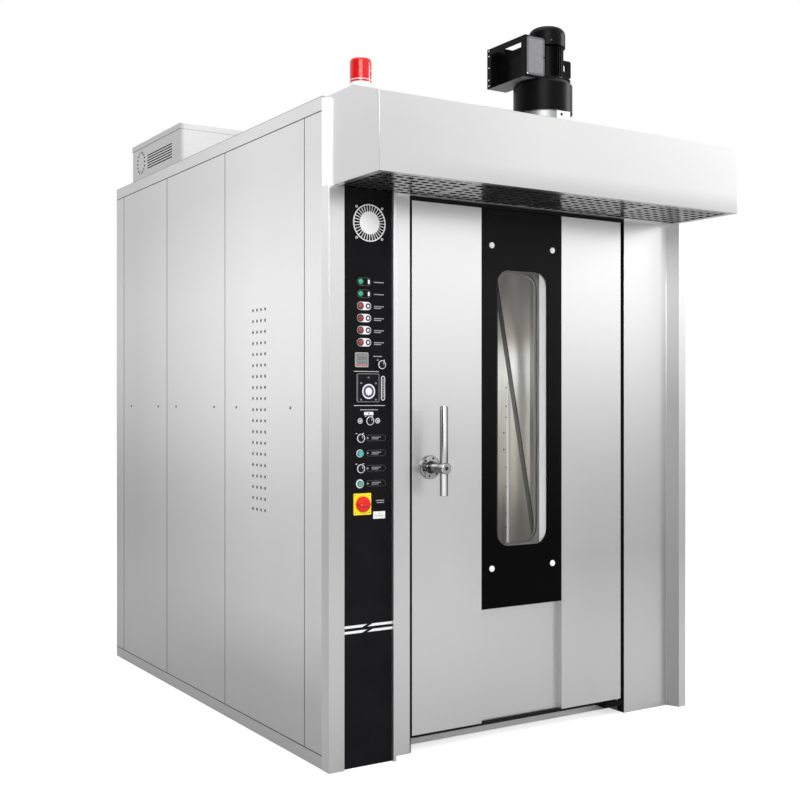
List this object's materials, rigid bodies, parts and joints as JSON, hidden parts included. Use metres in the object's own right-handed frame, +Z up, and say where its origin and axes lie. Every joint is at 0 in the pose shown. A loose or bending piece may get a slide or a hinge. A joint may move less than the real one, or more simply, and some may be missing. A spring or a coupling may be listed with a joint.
{
  "type": "rotating rack oven",
  "caption": "Floor-standing bakery oven: tall insulated chamber with a rotor for a rolled-in rack, windowed swing door, control column, steam canopy and a roof gear motor.",
  "frame": {"origin": "on the floor under the middle of the oven's overall box", "axes": "+Z up, the door faces -Y, the control column is on the -X side and the door hinges on the +X side"},
  "size_m": [1.604, 2.368, 2.622],
  "materials": {
    "cladding": "satin",
    "frame_steel": "satin",
    "chamber_steel": "satin",
    "polished_steel": "polished",
    "machined_steel": "satin",
    "black_paint": "satin",
    "black_panel": "satin",
    "mineral_wool": "matte",
    "seal_rubber": "matte",
    "belt_rubber": "matte",
    "smoke_glass": "gloss",
    "clear_glass": "gloss",
    "red_lens": "gloss",
    "lamp_lens": "gloss",
    "white_plastic": "satin",
    "display_plastic": "gloss",
    "yellow_plastic": "satin",
    "red_plastic": "satin",
    "black_plastic": "satin",
    "green_plastic": "gloss",
    "teal_plastic": "gloss"
  },
  "bodies": {
    "cabinet": {"base_frame": "frame_steel", "upper_frame": "cladding", "chamber_floor": "chamber_steel", "door_frame": "chamber_steel", "jamb_seal": "seal_rubber", "liner_sides": "chamber_steel", "liner_rear": "chamber_steel", "liner_ceiling": "chamber_steel", "insulation": "mineral_wool", "air_louvers": "chamber_steel", "heater_bank": "machined_steel", "left_vented_panel": "cladding", "plain_side_panels": "cladding", "rear_panels": "cladding", "roof_panel": "cladding", "control_post": "cladding", "left_pillar": "cladding", "right_pillar": "cladding", "canopy_shell": "cladding", "canopy_grilles": "frame_steel", "control_panel": "black_panel", "fan_guard": "polished_steel", "indicator_lamps": "lamp_lens", "panel_displays": "display_plastic", "main_switch_plate": "yellow_plastic", "beacon_base": "white_plastic", "beacon_lens": "red_lens", "roof_box": "cladding", "gear_pedestal": "machined_steel", "gear_reducer": "black_paint", "gear_motor": "black_paint", "motor_bracket": "black_paint", "belt_guard": "cladding", "drive_belt": "belt_rubber", "rotor_bearing": "machined_steel", "fan_motor": "black_paint", "panel_screws": "polished_steel", "pivot_brackets": "black_paint"},
    "door": {"door_shell": "cladding", "door_core": "mineral_wool", "door_liner": "chamber_steel", "door_glass": "smoke_glass", "window_panes": "clear_glass", "glass_standoffs": "polished_steel", "handle_rose": "polished_steel", "pivot_pins": "machined_steel"},
    "handle": {"handle_lever": "polished_steel"},
    "latch": {"latch_bolt": "machined_steel"},
    "rotor": {"rotor_shaft": "machined_steel", "rotor_carrier": "chamber_steel"},
    "drive_wheel": {"drive_pulley": "machined_steel"},
    "impeller": {"fan_impeller": "chamber_steel"},
    "panel_fan": {"cabinet_fan": "black_plastic"},
    "start": {"start_button": "green_plastic"},
    "light": {"light_button": "teal_plastic"},
    "steam": {"steam_knob": "black_plastic"},
    "fan_speed": {"fan_knob": "black_plastic"},
    "mode": {"mode_selector": "black_plastic"},
    "buzzer": {"buzzer_switch": "black_plastic"},
    "main_switch": {"main_switch_knob": "red_plastic"}
  },
  "joints": [
    {"name": "door_swing", "type": "hinge", "parent": "cabinet", "child": "door", "pos_m": [0.496, -0.837, 0.974], "axis": [0, 0, 1], "range_deg": [0, 110]},
    {"name": "handle_turn", "type": "hinge", "parent": "door", "child": "handle", "pos_m": [-0.377, -0.853, 0.975], "axis": [0, 1, 0], "range_deg": [0, 90]},
    {"name": "latch_slide", "type": "slide", "parent": "door", "child": "latch", "axis": [-1, 0, 0], "range_m": [0, 0.024]},
    {"name": "rotor_spin", "type": "hinge", "parent": "cabinet", "child": "rotor", "pos_m": [0.0265, -0.233, 1.9], "axis": [0, 0, 1], "continuous": true},
    {"name": "drive_spin", "type": "hinge", "parent": "cabinet", "child": "drive_wheel", "pos_m": [0.22, -0.731, 2.232], "axis": [0, 0, 1], "continuous": true},
    {"name": "impeller_spin", "type": "hinge", "parent": "cabinet", "child": "impeller", "pos_m": [-0.406, 0.789, 2], "axis": [0, 0, 1], "continuous": true},
    {"name": "cabinet_fan_spin", "type": "hinge", "parent": "cabinet", "child": "panel_fan", "pos_m": [-0.643, -0.871, 1.792], "axis": [0, 1, 0], "continuous": true},
    {"name": "start_press", "type": "slide", "parent": "cabinet", "child": "start", "axis": [0, 1, 0], "range_m": [0, 0.004], "stiffness_N_per_m": 600, "springref_m": -0.001},
    {"name": "light_press", "type": "slide", "parent": "cabinet", "child": "light", "axis": [0, 1, 0], "range_m": [0, 0.004], "stiffness_N_per_m": 600, "springref_m": -0.001},
    {"name": "steam_turn", "type": "hinge", "parent": "cabinet", "child": "steam", "pos_m": [-0.679, -0.901, 1.081], "axis": [0, 1, 0], "range_deg": [0, 90]},
    {"name": "fan_turn", "type": "hinge", "parent": "cabinet", "child": "fan_speed", "pos_m": [-0.679, -0.901, 0.981], "axis": [0, 1, 0], "range_deg": [0, 90]},
    {"name": "mode_turn", "type": "hinge", "parent": "cabinet", "child": "mode", "pos_m": [-0.644, -0.901, 1.138], "axis": [0, 1, 0], "range_deg": [-45, 45]},
    {"name": "buzzer_turn", "type": "hinge", "parent": "cabinet", "child": "buzzer", "pos_m": [-0.598, -0.901, 1.324], "axis": [0, 1, 0], "range_deg": [0, 90]},
    {"name": "main_switch_turn", "type": "hinge", "parent": "cabinet", "child": "main_switch", "pos_m": [-0.671, -0.901, 0.864], "axis": [0, 1, 0], "range_deg": [0, 90]}
  ],
  "couplings": [
    {"joint": "latch_slide", "follows": "handle_turn", "m_per_rad": 0.015279},
    {"joint": "drive_spin", "follows": "rotor_spin", "ratio": 3}
  ]
}
